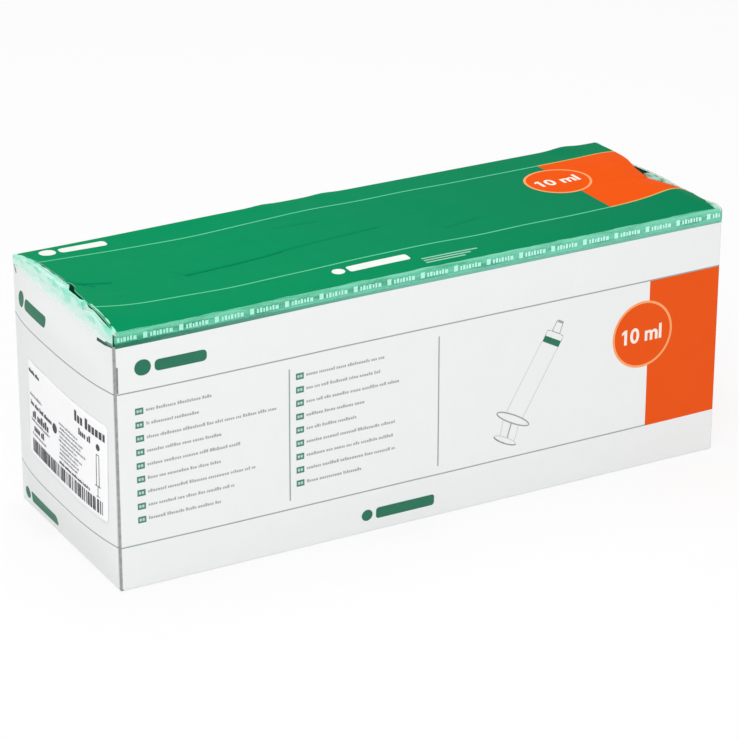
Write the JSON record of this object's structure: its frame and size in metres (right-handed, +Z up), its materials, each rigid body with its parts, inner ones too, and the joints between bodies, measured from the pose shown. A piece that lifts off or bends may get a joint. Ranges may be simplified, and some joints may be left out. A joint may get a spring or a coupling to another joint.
{
  "type": "sealed printed carton of syringes",
  "caption": "Long printed cardboard carton of wrapped syringes, its lid flap shut and sealed with clear printed tape, with a green lid, orange end and paper end label.",
  "frame": {"origin": "middle of the carton's base, on the surface that it stands on", "axes": "+X along the carton from the labelled end to the other end, +Y from the front panel to the lid's hinge fold, +Z up"},
  "size_m": [0.4103, 0.1416, 0.1619],
  "materials": {
    "board": "satin coated print",
    "tape": "clear film",
    "label": "matte"
  },
  "bodies": {
    "root": {"carton": "board", "front_tape": "tape", "left_tape": "tape", "right_tape": "tape", "end_label": "label"}
  },
  "joints": []
}
